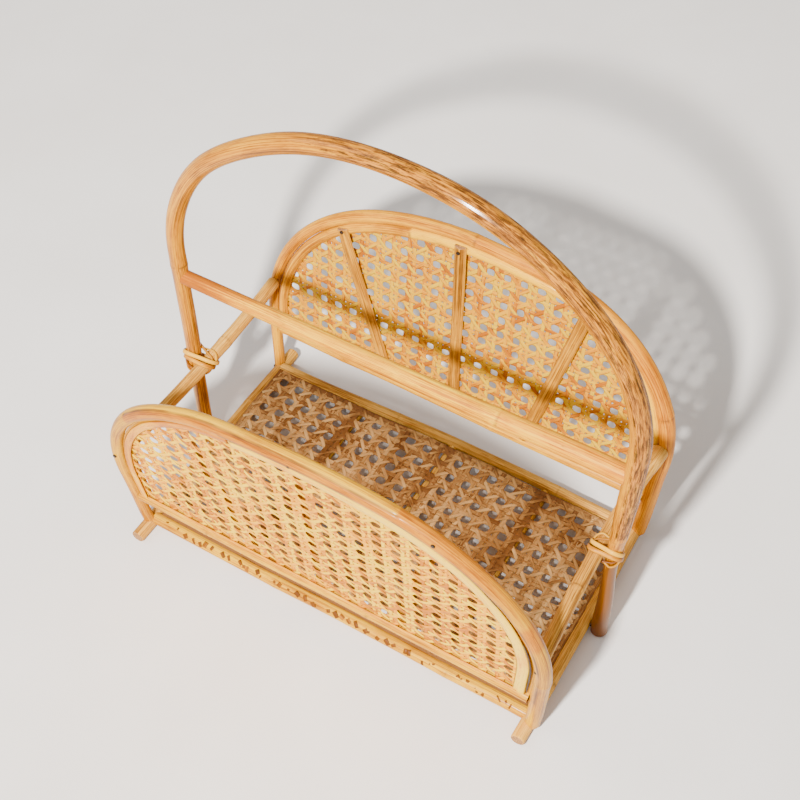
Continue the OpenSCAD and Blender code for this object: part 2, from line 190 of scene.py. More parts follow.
def pole(name, path, side, radius, material, replaces, nodes=(), bark=None, seed=0, around=44,
         caps=(True, True), wobble=0.0004, seam=None, tone=None, ring_size=1.0, flat=None, warm=None,
         gap_shade=None):
    """A natural rattan pole along path.

    side is the direction that an angle of 90 degrees points to, radius a
    number or a function of the share of length, nodes the shares where a leaf
    grew, and bark, tone, warm and gap_shade functions of (share, angle);
    gap_shade paints the shade of a gap in the seam's dark colour.  seam is
    (angle, from, to, tone above it, depth), and flat cuts a pole in half."""
    P = resample(path, POLE_STEP)
    n = len(P)
    s = np.r_[0, np.cumsum(np.linalg.norm(np.diff(P, axis=0), axis=1))]
    share = s / s[-1]
    T = np.gradient(P, axis=0)
    T /= np.linalg.norm(T, axis=1)[:, None]
    B = np.broadcast_to(np.asarray(side, float), P.shape)
    B = B - (B * T).sum(1)[:, None] * T
    B /= np.linalg.norm(B, axis=1)[:, None]
    N = np.cross(T, B)
    ends = smooth(0, 0.02, s) * smooth(0, 0.02, s[-1] - s)
    P = P + N * (wander(s, 0.06, seed + 1) * wobble * ends)[:, None]
    P = P + B * (wander(s, 0.07, seed + 2) * wobble * ends)[:, None]
    r0 = np.array([radius(t) for t in share]) if callable(radius) else np.full(n, float(radius))
    r0 = r0 * (1 + 0.018 * wander(s, 0.05, seed + 3))
    ring = np.zeros(n)
    mark = np.zeros(n)
    for k in nodes:
        d = s - k * s[-1]
        ring += ring_size * (0.00026 * np.exp(-(d / 0.0030) ** 2)
                             - 0.00022 * np.exp(-((d - 0.0012) / 0.0007) ** 2))
        ring += ring_size * 0.00022 * np.exp(-(d / 0.010) ** 2)
        mark = np.maximum(mark, ring_size * np.exp(-((d - 0.0012) / 0.0009) ** 2))
    a = np.arange(around) / around * TAU
    A, S = np.meshgrid(a, s)
    SH = S / s[-1]
    R = r0[:, None] * (1 + 0.016 * np.cos(2 * A + 6 * wander(S, 0.2, seed + 4)) + 0.009 * np.cos(3 * A + seed))
    R = R + ring[:, None]
    R = R + 0.00007 * wander(A * 7 + 40, 1.0, seed + 5) * (0.6 + 0.4 * wander(S, 0.03, seed + 6))
    bark_w = np.zeros_like(R) if bark is None else np.clip(bark(SH, A), 0, 1)
    R = R + bark_w * 0.00016 * wander(A * 9 + 20 * SH, 0.8, seed + 8) + bark_w * 0.0001
    tone_w = np.zeros_like(R) if tone is None else tone(SH, A)
    seam_and_shade_w = np.zeros_like(R)
    seam_under = np.zeros_like(R)
    warm_w = np.zeros_like(R) if warm is None else np.clip(warm(SH, A), 0, 1)
    if seam is not None:
        angle, lo, hi, up_tone, depth = seam
        line = angle + 0.10 * wander(S, 0.03, seed + 9)
        off = (A - line + math.pi) % TAU - math.pi
        run = smooth(lo - 0.004, lo, SH) * smooth(hi + 0.004, hi, SH)
        seam_and_shade_w = np.exp(-(off * r0[:, None] / 0.0011) ** 2) * run * (0.72 + 0.28 * wander(S, 0.012, seed + 15))
        R = R - depth * seam_and_shade_w
        tone_w = tone_w + up_tone * run * smooth(0, 0.12, off) * smooth(2.2, 1.9, off)
        seam_under = run * smooth(0, 0.12, -off) * smooth(1.6, 1.0, -off)
    # gap_shade adds painted shade of a gap, darkened like the seam
    if gap_shade is not None:
        seam_and_shade_w = np.maximum(seam_and_shade_w, gap_shade(SH, A))
    if flat is not None:
        # A split pole has its flat side on the path and its back along -B
        lift = np.minimum(np.sin(A) * R + flat, 0.0)
    else:
        lift = np.sin(A) * R
    co = P[:, None, :] + N[:, None, :] * (np.cos(A) * R)[..., None] + B[:, None, :] * lift[..., None]
    co = co.reshape(-1, 3)
    grain = np.stack([S + seed * 0.37, np.cos(A) * R, np.sin(A) * R], -1).reshape(-1, 3)
    cut = np.zeros(n * around)
    faces = [grid_faces(n, around)]
    mark = (mark[:, None] * np.clip(0.55 + 0.75 * wander(A * 3 + 9, 1.0, seed + 13), 0, 1)).ravel()
    extra = {"node": [mark], "bark": [bark_w.ravel()], "tone": [tone_w.ravel()], "seam": [seam_and_shade_w.ravel()],
             "warm": [np.maximum(warm_w, 0.9 * seam_under).ravel()]}
    cos, grains, cuts = [co], [grain], [cut]
    total = n * around
    for end, wanted in ((0, caps[0]), (-1, caps[1])):
        if not wanted:
            continue
        sign = -1 if end == 0 else 1
        base = 0 if end == 0 else (n - 1) * around
        rim = co[base:base + around]
        centre = P[end]
        previous = np.arange(around) + base
        for shrink, out in CAP_RINGS:
            ring_co = centre + (rim - centre) * shrink + T[end] * sign * out
            ring_co += T[end] * (0.00012 * wander(a * 4, 1.0, seed + 11))[:, None] * (shrink < 0.9)
            cos.append(ring_co)
            grains.append(np.c_[np.full(around, s[end] + sign * out + seed * 0.37),
                                np.cos(a) * r0[end] * shrink, np.sin(a) * r0[end] * shrink])
            cuts.append(np.full(around, 1.0 if shrink < 0.95 else 0.35))
            index = total + np.arange(around)
            q = np.stack([previous, np.roll(previous, -1), np.roll(index, -1), index], -1)
            faces.append(q if end else q[:, ::-1])
            previous = index
            total += around
        cos.append((centre + T[end] * sign * 0.0005)[None])
        grains.append(np.array([[s[end] + seed * 0.37, 0, 0]]))
        cuts.append(np.ones(1))
        tri = np.stack([previous, np.roll(previous, -1), np.full(around, total)], -1)
        faces.append(tri if end else tri[:, ::-1])
        total += 1
    pad = total - n * around
    attributes = {k: np.concatenate(v + [np.zeros(pad)]) for k, v in extra.items()}
    attributes["grain"] = np.vstack(grains)
    attributes["cut"] = np.concatenate(cuts)
    return make_mesh(name, np.vstack(cos), faces, attributes, material, replaces)


# ---------------------------------------------------------------- materials
class Nodes:
    """Short names for building a node tree."""

    def __init__(self, name):
        self.mat = bpy.data.materials.new(name)
        self.mat.use_nodes = True
        self.tree = self.mat.node_tree
        self.tree.nodes.clear()
        self.bsdf = self.add("ShaderNodeBsdfPrincipled")
        out = self.add("ShaderNodeOutputMaterial")
        self.link(self.bsdf.outputs[0], out.inputs[0])

    def add(self, kind, **values):
        node = self.tree.nodes.new(kind)
        for k, v in values.items():
            setattr(node, k, v)
        return node

    def link(self, a, b):
        self.tree.links.new(a, b)

    def put(self, socket, value):
        if hasattr(value, "is_output") or hasattr(value, "links"):
            self.link(value, socket)
        else:
            socket.default_value = value

    def attribute(self, name, vector=False):
        node = self.add("ShaderNodeAttribute", attribute_name=name)
        return node.outputs["Vector" if vector else "Fac"]

    def math(self, op, a, b=0.0):
        node = self.add("ShaderNodeMath", operation=op)
        self.put(node.inputs[0], a)
        self.put(node.inputs[1], b)
        return node.outputs[0]

    def scaled(self, vector, scale):
        node = self.add("ShaderNodeVectorMath", operation="MULTIPLY")
        self.put(node.inputs[0], vector)
        node.inputs[1].default_value = scale
        return node.outputs[0]

    def noise(self, vector, detail=3.0, rough=0.55, distort=0.0):
        node = self.add("ShaderNodeTexNoise")
        self.put(node.inputs["Vector"], vector)
        node.inputs["Scale"].default_value = 1.0
        node.inputs["Detail"].default_value = detail
        node.inputs["Roughness"].default_value = rough
        node.inputs["Distortion"].default_value = distort
        return node.outputs["Fac"]

    def span(self, value, lo, hi, to_lo=0.0, to_hi=1.0):
        node = self.add("ShaderNodeMapRange")
        self.put(node.inputs[0], value)
        for i, v in zip((1, 2, 3, 4), (lo, hi, to_lo, to_hi)):
            node.inputs[i].default_value = v
        return node.outputs[0]

    def ramp(self, value, stops):
        node = self.add("ShaderNodeValToRGB")
        self.put(node.inputs[0], value)
        ramp = node.color_ramp
        while len(ramp.elements) < len(stops):
            ramp.elements.new(0.5)
        for e, (at, colour) in zip(ramp.elements, stops):
            e.position = at
            e.color = (*colour, 1)
        return node.outputs[0]

    def mix(self, fac, a, b, blend="MIX"):
        node = self.add("ShaderNodeMix", data_type="RGBA", blend_type=blend)
        self.put(node.inputs[0], fac)
        for socket, value in ((node.inputs[6], a), (node.inputs[7], b)):
            self.put(socket, (*value, 1) if isinstance(value, tuple) else value)
        return node.outputs[2]

    def bump(self, height, strength, distance):
        node = self.add("ShaderNodeBump")
        node.inputs["Strength"].default_value = strength
        node.inputs["Distance"].default_value = distance
        self.put(node.inputs["Height"], height)
        return node.outputs[0]


def linear(r, g, b):
    """Screen colour 0-255 to the linear values that shaders take."""
    def one(c):
        c /= 255
        return c / 12.92 if c <= 0.04045 else ((c + 0.055) / 1.055) ** 2.4
    return (one(r), one(g), one(b))


# Dark colour of seams, also used for painted shade in gaps beside a pole
SEAM_AND_SHADE_DARK = linear(92, 50, 16)


def pole_material(name, dark, mid, light, coat=0.3, rough=(0.34, 0.6), line=0.5):
    """Varnished rattan: long fibres, blotches, ring marks, bark and cut ends."""
    m = Nodes(name)
    grain = m.attribute("grain", vector=True)
    fibre = m.noise(m.scaled(grain, (9, 1500, 1500)), detail=4, rough=0.6)
    streak = m.noise(m.scaled(grain, (5, 420, 420)), detail=3, distort=0.2)
    blotch = m.noise(m.scaled(grain, (16, 60, 60)), detail=4, rough=0.6)
    pore = m.noise(m.scaled(grain, (130, 1500, 1500)), detail=2)
    dash = m.noise(m.scaled(grain, (60, 900, 900)), detail=3, rough=0.65)
    value = m.math("ADD", m.math("MULTIPLY", streak, 0.34), m.math("MULTIPLY", blotch, 0.40))
    value = m.math("ADD", value, m.math("MULTIPLY", dash, 0.26))
    value = m.math("ADD", value, m.math("MULTIPLY", m.math("SUBTRACT", fibre, 0.5), line))
    value = m.math("ADD", value, m.math("MULTIPLY", m.attribute("tone"), 0.35))
    colour = m.ramp(value, [(0.37, linear(*dark)), (0.49, linear(*mid)), (0.61, linear(*light))])
    flecks = m.span(pore, 0.62, 0.70)
    colour = m.mix(m.math("MULTIPLY", flecks, 0.45), colour, linear(104, 58, 20))
    stain = m.span(m.noise(m.scaled(grain, (38, 150, 150)), detail=3), 0.60, 0.74)
    colour = m.mix(m.math("MULTIPLY", stain, 0.35), colour, linear(132, 76, 26))
    colour = m.mix(m.math("MULTIPLY", m.attribute("warm"), 0.7), colour, linear(226, 172, 96), "MULTIPLY")
    bark = m.attribute("bark")
    patch = m.noise(m.scaled(grain, (85, 560, 560)), detail=5, rough=0.7)
    bark_fac = m.span(m.math("ADD", m.math("MULTIPLY", bark, 0.62), patch), 0.98, 1.12)
    shred = m.noise(m.scaled(grain, (70, 760, 760)), detail=5, rough=0.65)
    bark_colour = m.ramp(shred, [(0.40, linear(34, 18, 6)), (0.5, linear(116, 62, 14)),
                                 (0.58, linear(206, 132, 34))])
    colour = m.mix(m.math("MULTIPLY", bark_fac, 0.88), colour, bark_colour)
    node = m.attribute("node")
    colour = m.mix(m.math("MULTIPLY", node, 0.75), colour, linear(92, 56, 28))
    # The seam attribute darkens real seams and painted shade of gaps alike
    colour = m.mix(m.math("MULTIPLY", m.attribute("seam"), 0.95), colour, SEAM_AND_SHADE_DARK)
    cut = m.attribute("cut")
    vessels = m.noise(m.scaled(grain, (60, 2300, 2300)), detail=1)
    end = m.ramp(vessels, [(0.36, linear(88, 58, 34)), (0.52, linear(178, 128, 78)),
                           (0.72, linear(206, 160, 106))])
    colour = m.mix(cut, colour, end)
    m.link(colour, m.bsdf.inputs["Base Color"])
    r = m.span(m.math("ADD", m.math("MULTIPLY", blotch, 0.6), m.math("MULTIPLY", fibre, 0.4)),
               0.35, 0.65, rough[0], rough[1])
    r = m.math("MAXIMUM", r, m.math("MULTIPLY", m.math("MAXIMUM", bark_fac, cut), 0.78))
    m.link(r, m.bsdf.inputs["Roughness"])
    m.bsdf.inputs["Coat Weight"].default_value = coat
    m.bsdf.inputs["Coat Roughness"].default_value = 0.13
    m.bsdf.inputs["Specular IOR Level"].default_value = 0.12
    height = m.math("ADD", m.math("MULTIPLY", fibre, 0.5), m.math("MULTIPLY", streak, 0.5))
    height = m.math("SUBTRACT", height, m.math("MULTIPLY", flecks, 0.4))
    height = m.math("ADD", height, m.math("MULTIPLY", bark_fac, m.math("MULTIPLY", patch, 1.6)))
    height = m.math("SUBTRACT", height, m.math("MULTIPLY", cut, m.math("MULTIPLY", vessels, 1.5)))
    m.link(m.bump(height, 0.35, 0.0004), m.bsdf.inputs["Normal"])
    return m.mat


def cane_material(name, dark, mid, light, coat=0.08, rough=(0.36, 0.6), deep=(92, 50, 16)):
    """Split cane: every strand has its own shade, fine fibres and dark specks."""
    m = Nodes(name)
    grain = m.attribute("grain", vector=True)
    tone = m.attribute("tone")
    fibre = m.noise(m.scaled(grain, (22, 2600, 2600)), detail=3, rough=0.6)
    blotch = m.noise(m.scaled(grain, (45, 300, 300)), detail=4, rough=0.65)
    value = m.math("ADD", m.math("MULTIPLY", fibre, 0.4), m.math("MULTIPLY", blotch, 0.6))
    value = m.math("ADD", value, m.math("MULTIPLY", tone, 0.3))
    colour = m.ramp(value, [(0.34, linear(*dark)), (0.49, linear(*mid)), (0.66, linear(*light))])
    speck = m.span(m.noise(m.scaled(grain, (260, 2200, 2200)), detail=2), 0.63, 0.71)
    colour = m.mix(m.math("MULTIPLY", speck, 0.5), colour, linear(*deep))
    # Painted shade darkens each strand's edges, standing in for the shadow between strands
    colour = m.mix(m.math("MULTIPLY", m.attribute("edge"), 0.38), colour, linear(*deep))
    # dirt darkens the stitches at random and paints shade, as on the binder's gap strip
    colour = m.mix(m.attribute("dirt"), colour, linear(*deep))
    m.link(colour, m.bsdf.inputs["Base Color"])
    m.link(m.span(blotch, 0.35, 0.65, rough[0], rough[1]), m.bsdf.inputs["Roughness"])
    m.bsdf.inputs["Coat Weight"].default_value = coat
    m.bsdf.inputs["Coat Roughness"].default_value = 0.3
    m.bsdf.inputs["Specular IOR Level"].default_value = 0.08
    m.link(m.bump(m.math("ADD", fibre, m.math("MULTIPLY", blotch, 0.5)), 0.3, 0.0002), m.bsdf.inputs["Normal"])
    return m.mat


# The dark, middle and light colours leave blue out: the view transform adds it
handle_mat = pole_material("handle_rattan", (114, 64, 0), (190, 116, 0), (226, 156, 0),
                           coat=0.32, rough=(0.28, 0.5), line=0.7)
divider_mat = pole_material("divider_rattan", (180, 104, 0), (234, 158, 0), (255, 202, 16),
                            coat=0.06, rough=(0.38, 0.6), line=0.7)
front_mat = pole_material("front_rattan", (152, 88, 0), (206, 140, 0), (232, 176, 0),
                          coat=0.12, rough=(0.28, 0.5), line=0.65)
back_mat = pole_material("back_rattan", (156, 90, 0), (214, 144, 0), (240, 180, 0), coat=0.10, line=0.65)
base_mat = pole_material("base_rattan", (134, 84, 26), (202, 142, 48), (234, 180, 82),
                         coat=0.05, rough=(0.45, 0.68))
rib_mat = pole_material("rib_rattan", (106, 62, 6), (174, 112, 12), (214, 152, 34),
                        coat=0.05, rough=(0.5, 0.72), line=0.7)
front_cane_mat = cane_material("front_cane", (200, 116, 0), (255, 170, 0), (255, 206, 8), coat=0.04)
back_cane_mat = cane_material("back_cane", (200, 110, 0), (255, 172, 0), (255, 206, 10), coat=0.04)
floor_cane_mat = cane_material("floor_cane", (130, 86, 44), (192, 142, 80), (222, 178, 114),
                               coat=0.03, rough=(0.5, 0.7), deep=(66, 38, 14))
binding_mat = cane_material("binding_cane", (196, 112, 0), (244, 164, 0), (255, 208, 50),
                            coat=0.2, rough=(0.24, 0.46), deep=(44, 24, 8))
stitch_mat = cane_material("stitch_cane", (120, 66, 6), (190, 118, 14), (220, 150, 30), coat=0.04)
lash_mat = cane_material("lashing_cane", (132, 72, 4), (196, 124, 10), (236, 176, 44),
                         coat=0.2, rough=(0.3, 0.5))


def nail_material():
    m = Nodes("nail_iron")
    where = m.add("ShaderNodeTexCoord").outputs["Object"]
    rust = m.noise(m.scaled(where, (900, 900, 900)), detail=4)
    colour = m.ramp(rust, [(0.35, linear(40, 34, 30)), (0.55, linear(74, 60, 50)), (0.75, linear(104, 74, 52))])
    m.link(colour, m.bsdf.inputs["Base Color"])
    m.link(m.span(rust, 0.3, 0.7, 0.35, 0.7), m.bsdf.inputs["Roughness"])
    m.bsdf.inputs["Metallic"].default_value = 0.8
    m.link(m.bump(rust, 0.4, 0.0002), m.bsdf.inputs["Normal"])
    return m.mat


nail_mat = nail_material()

# ---------------------------------------------------------------- hoops


def handle_radius(t):
    """Thin at the left foot, thick over the crown, bare and thin above the right foot."""
    crown = 0.0064 + 0.0010 * smooth(0.05, 0.4, t) + 0.0006 * smooth(0.4, 0.8, t)
    return crown - 0.0024 * smooth(0.82, 0.9, t) + 0.0015 * smooth(0.91, 0.99, t)


def handle_bark(t, a):
    """Bark covers the outer side of the right half: an angle of 0 points out of the arch."""
    outer = smooth(-0.45, 0.6, np.cos(a + 0.45))
    return outer * smooth(0.34, 0.5, t) * (1 - 0.85 * smooth(0.86, 0.875, t))


points = arch_line(HANDLE_ARCH, HANDLE_ARCH)
path = np.c_[points[:, 0], np.zeros(len(points)), points[:, 1]]
path[[0, -1], 2] += 0.0015
# Both legs are bent a little towards the arms
height = path[:, 2]
path[:, 0] -= (0.0028 * np.exp(-((height - 0.10) / 0.05) ** 2)
               + 0.0006 * np.exp(-(height / 0.04) ** 2)) * (path[:, 0] > 0)
path[:, 0] += 0.0013 * smooth(0.22, 0.14, height) * (path[:, 0] < 0)
# With B along +Y, N = T x B points out of the arch
pole("handle_pole", path, Y_AXIS, handle_radius, handle_mat, ["handle_hoop"],
     nodes=[0.215, 0.868], bark=handle_bark, seed=11, around=52, wobble=0.0006,
     tone=lambda t, a: -0.9 * smooth(0.89, 0.92, t))


def hoop_path(label, side, inset=0.0, w=0.0, start=-0.005):
    p = arch_line(*HOOP_HALVES[label], inset=inset, start=start)
    return panel_point(p[:, 0], p[:, 1], w, side)


def front_radius(t):
    """The left leg is thin and the crown thicker."""
    return 0.0050 + 0.0011 * smooth(0.08, 0.3, t) + 0.0005 * smooth(0.72, 0.9, t)


def back_radius(t):
    return 0.0053 + 0.0002 * smooth(0.2, 0.4, t) + 0.0012 * smooth(0.5, 0.62, t)


def front_warm(t, a):
    splice = 0.95 * smooth(0.603, 0.605, t) * smooth(0.80, 0.68, t)
    patch = 0.9 * smooth(0.765, 0.775, t) * smooth(0.81, 0.80, t)
    return splice + patch + 0.5 * smooth(0.16, 0.06, t)


def front_gap_shade(t, a):
    """Painted shade: a dark line along the edge that meets the right length of the binder, standing in for the
    shadowed gap between hoop and strip.
    """
    run = smooth(0.41, 0.414, t) * smooth(0.565, 0.56, t) + smooth(0.60, 0.605, t) * smooth(0.93, 0.925, t)
    return run * np.clip(0.6 + 0.6 * wander(t, 0.02, 77), 0, 1) * np.exp(-((a - TAU + 1.72) / 0.2) ** 2)


def back_warm(t, a):
    return 0.35 + 0.4 * smooth(0.497, 0.5, t)


def shaded_underside(t, a):
    """Painted shade: the front rail is darkened below, where it faces away from the light: an angle of 0 points
    down and 90 degrees outwards.
    """
    return -1.8 * smooth(1.5, 1.15, a)


def inner_radius(t):
    return 0.0058 - 0.0008 * smooth(0.3, 0.5, t)


def splice_and_sheen(t, a):
    """The back's inner hoop is spliced at a node: a little darker before it, and lighter after it as a painted
    highlight.
    """
    return -0.15 + 0.5 * smooth(0.40, 0.405, t)


RAIL_ENDS = np.array([-0.187, 0.187])
for label, side, mat, seed in (("front", -1, front_mat, 23), ("back", 1, back_mat, 37)):
    out = panel_out(side)
    slot = label + "_pole"
    front = label == "front"
    nodes = [0.88] if front else [0.497, 0.80]
    # Angle 0 is out of the arch and, on the front hoop, -90 degrees is outwards
    seam = (TAU - 0.62, 0.262, 0.604, 0.12, 0.0006) if front else None
    pole(label + "_hoop_pole", hoop_path(label, side), Y_AXIS, front_radius if front else back_radius, mat,
         [label + "_outer_hoop"], nodes=nodes, seed=seed, seam=seam, wobble=0.0006,
         warm=front_warm if front else back_warm, around=84 if front else 52,
         gap_shade=front_gap_shade if front else None)
    # The inner hoop is half round, with its flat side on the webbing
    inner_start = RAIL_V + (0 if front else 0.004)
    inner_path = hoop_path(label, side, INNER_INSET[label], -0.00075, inner_start)
    pole(label + "_inner_hoop_pole", inner_path, out, inner_radius if front else 0.0048, mat,
         [label + "_inner_hoop"], nodes=[0.40], seed=seed + 3, around=28, caps=(False, False), wobble=0.0002,
         flat=0.0004, tone=None if front else splice_and_sheen)
    rail_path = panel_point(RAIL_ENDS, rail_v(label, RAIL_ENDS) + 0.0005 * front, 0, side)
    pole(label + "_rail_pole", rail_path, out, 0.0048 if front else 0.0054, mat, [label + "_bottom_rail"],
         nodes=[0.19, 0.61], seed=seed + 5, around=36, caps=(False, False), ring_size=0.8,
         tone=shaded_underside if front else None)

for label, x, seed in (("left", -RUNNER_X, 51), ("right", RUNNER_X, 57)):
    pole(label + "_runner_pole", [(x, -0.125, RUNNER_D / 2), (x, 0.125, RUNNER_D / 2)], Z_AXIS,
         0.0060, base_mat, [label + "_runner"], nodes=[0.22, 0.7], seed=seed, around=40)
for label, y, mat, slot, seed in (("front", -BASE_RAIL_Y, front_mat, "front_pole", 61),
                                  ("back", BASE_RAIL_Y, base_mat, "base_pole", 67)):
    x = np.linspace(-0.186, 0.186, 60)
    bow = (0.0 if label == "front" else 0.005) * np.cos(np.pi * np.clip((x - 0.03) / 0.43, -0.5, 0.5)) ** 2
    pole(f"base_{label}_pole", np.c_[x, y + bow, np.full(60, BASE_RAIL_Z)], Z_AXIS,
         0.0054, mat, [f"base_{label}_rail"], nodes=[0.35, 0.8], seed=seed, around=36,
         caps=(False, False), ring_size=0.6)
for i, label in enumerate(("left", "middle", "right")):
    x = 0.005 + (i - 1) * 0.097
    pole(f"cross_bar_{label}_pole", [(x, -0.1, 0.006), (x, 0.104, 0.006)], Z_AXIS, 0.0044, base_mat,
         [f"base_cross_bar_{label}"], seed=71 + i, around=24, caps=(False, False))

divider_path = [(-handle_x(DIVIDER_Z) + 0.004, 0, DIVIDER_Z), (handle_x(DIVIDER_Z) - 0.005, 0, DIVIDER_Z)]
pole("divider_pole", divider_path, Z_AXIS, lambda t: 0.0063 + 0.0013 * t, divider_mat,
     ["divider_bar"], nodes=[0.735], seed=83, around=48,
     warm=lambda t, a: 0.5 * smooth(0.28, 0.05, t) + 0.5 * smooth(0.735, 0.74, t),
     tone=lambda t, a: -0.7 * smooth(0.22, 0.02, t))

# The handle's legs press the arm rails in at their middles
mid_x = handle_x(ARM_Z) - 0.008 - ARM_D / 2 - 0.0001
half_y = PANEL_Y + (ARM_Z - RUNNER_D) * math.tan(LEAN) - 0.006 - 0.0004
arm_r = (half_y ** 2 + ARM_BOW ** 2) / (2 * ARM_BOW)
for label, sx, seed in (("left", -1, 91), ("right", 1, 97)):
    y = np.linspace(-half_y, half_y, 60)
    x = mid_x + arm_r - np.sqrt(arm_r ** 2 - y ** 2)
    pole(label + "_arm_pole", np.c_[sx * x, y, np.full(60, ARM_Z)], Z_AXIS,
         lambda t, sx=sx: 0.0059 + 0.0014 * (sx > 0) * smooth(0.84, 0.97, t), base_mat,
         [label + "_arm_rail"], nodes=[0.3 if sx > 0 else 0.62], seed=seed, around=40)

# ---------------------------------------------------------------- ribs
RIB_FOOT_X = (-0.069, -0.001, 0.071)
RIB_HEAD_X = (-0.119, -0.008, 0.107)
# A rib's face touches the webbing at its foot and lies over the inner hoop at its head
RIB_FACE_W = np.array([-0.0009 - 0.00035, -0.0055])


def inner_v(label, x):
    """Height of the inner hoop's middle at x, on its crown."""
    line = arch_line(*HOOP_HALVES[label], inset=INSET)
    top = line[line[:, 1] > 0.1]
    return float(np.interp(x, top[:, 0], top[:, 1]))


for label, side in (("front", -1), ("back", 1)):
    out = panel_out(side)
    for i, part in enumerate(("left", "middle", "right")):
        ends_u = np.array([RIB_FOOT_X[i], RIB_HEAD_X[i]])
        ends_v = np.array([rail_v(label, RIB_FOOT_X[i]) + 0.0045, inner_v(label, RIB_HEAD_X[i]) + 0.005])
        pole(f"{label}_rib_{part}_pole", panel_point(ends_u, ends_v, RIB_FACE_W, side), out,
             lambda t: 0.0058 - 0.0004 * t, rib_mat, [f"{label}_rib_{part}"],
             seed=101 + 7 * i + (side + 1), around=30, flat=0.0013, ring_size=0.3, nodes=[0.45], wobble=0.0002)


# ---------------------------------------------------------------- ribbons and webbing
# A strip's section as shares of its width and thickness, and how much painted shade each corner gets, for the
# shadow between strands
SECTION = np.array([(-0.5, 0.0), (-0.36, 0.42), (0.0, 0.5), (0.36, 0.42), (0.5, 0.0), (0.30, -0.5),
                    (-0.30, -0.5)])
SECTION_SHADE = np.array([1.0, 0.2, 0.0, 0.2, 1.0, 1.0, 1.0])


class Ribbons:
    """Gathers many thin strips into one mesh."""

    def __init__(self):
        self.co, self.faces, self.grain, self.tone, self.dirt = [], [], [], [], []
        self.count = 0

    def add(self, P, across, up, width, thick, tone=0.0, dirt=0.0, closed=False, seed=0.0):
        n, k = len(P), len(SECTION)
        width = np.broadcast_to(np.asarray(width, float), (n,))
        thick = np.broadcast_to(np.asarray(thick, float), (n,))
        co = P[:, None] + across[:, None] * (SECTION[None, :, 0] * width[:, None])[..., None]
        co = co + up[:, None] * (SECTION[None, :, 1] * thick[:, None])[..., None]
        s = np.r_[0, np.cumsum(np.linalg.norm(np.diff(P, axis=0), axis=1))]
        g = np.empty((n, k, 3))
        g[..., 0] = s[:, None] + seed * 1.7
        g[..., 1] = SECTION[None, :, 0] * width[:, None] + seed * 0.31
        g[..., 2] = SECTION[None, :, 1] * thick[:, None]
        self.co.append(co.reshape(-1, 3))
        self.grain.append(g.reshape(-1, 3))
        self.tone.append(np.repeat(np.broadcast_to(np.asarray(tone, float), (n,)), k))
        self.dirt.append(np.repeat(np.broadcast_to(np.asarray(dirt, float), (n,)), k))
        base = self.count
        self.faces.append(grid_faces(n, k, base=base))
        if closed:
            j = np.arange(k)
            a = base + (n - 1) * k + j
            b = base + (n - 1) * k + (j + 1) % k
            self.faces.append(np.stack([a, b, base + (j + 1) % k, base + j], -1))
        else:
            first = base + np.arange(k)
            last = base + (n - 1) * k + np.arange(k)
            for ring, flip in ((first, True), (last, False)):
                fan = np.array([[ring[0], ring[j], ring[j + 1]] for j in range(1, k - 1)])
                self.faces.append(np.c_[fan[:, ::-1] if flip else fan, fan[:, :1]][:, :3])
        self.count += n * k

    def build(self, name, material, slot, replaces):
        attributes = {"grain": np.vstack(self.grain), "tone": np.concatenate(self.tone),
                      "dirt": np.concatenate(self.dirt),
                      "edge": np.tile(SECTION_SHADE, self.count // len(SECTION))}
        return make_mesh(name, np.vstack(self.co), self.faces, attributes, material, replaces)


PAIR_WAVE = 0.0005
DIAGONAL_WAVE = 0.00046
STRAND_T = 0.00042


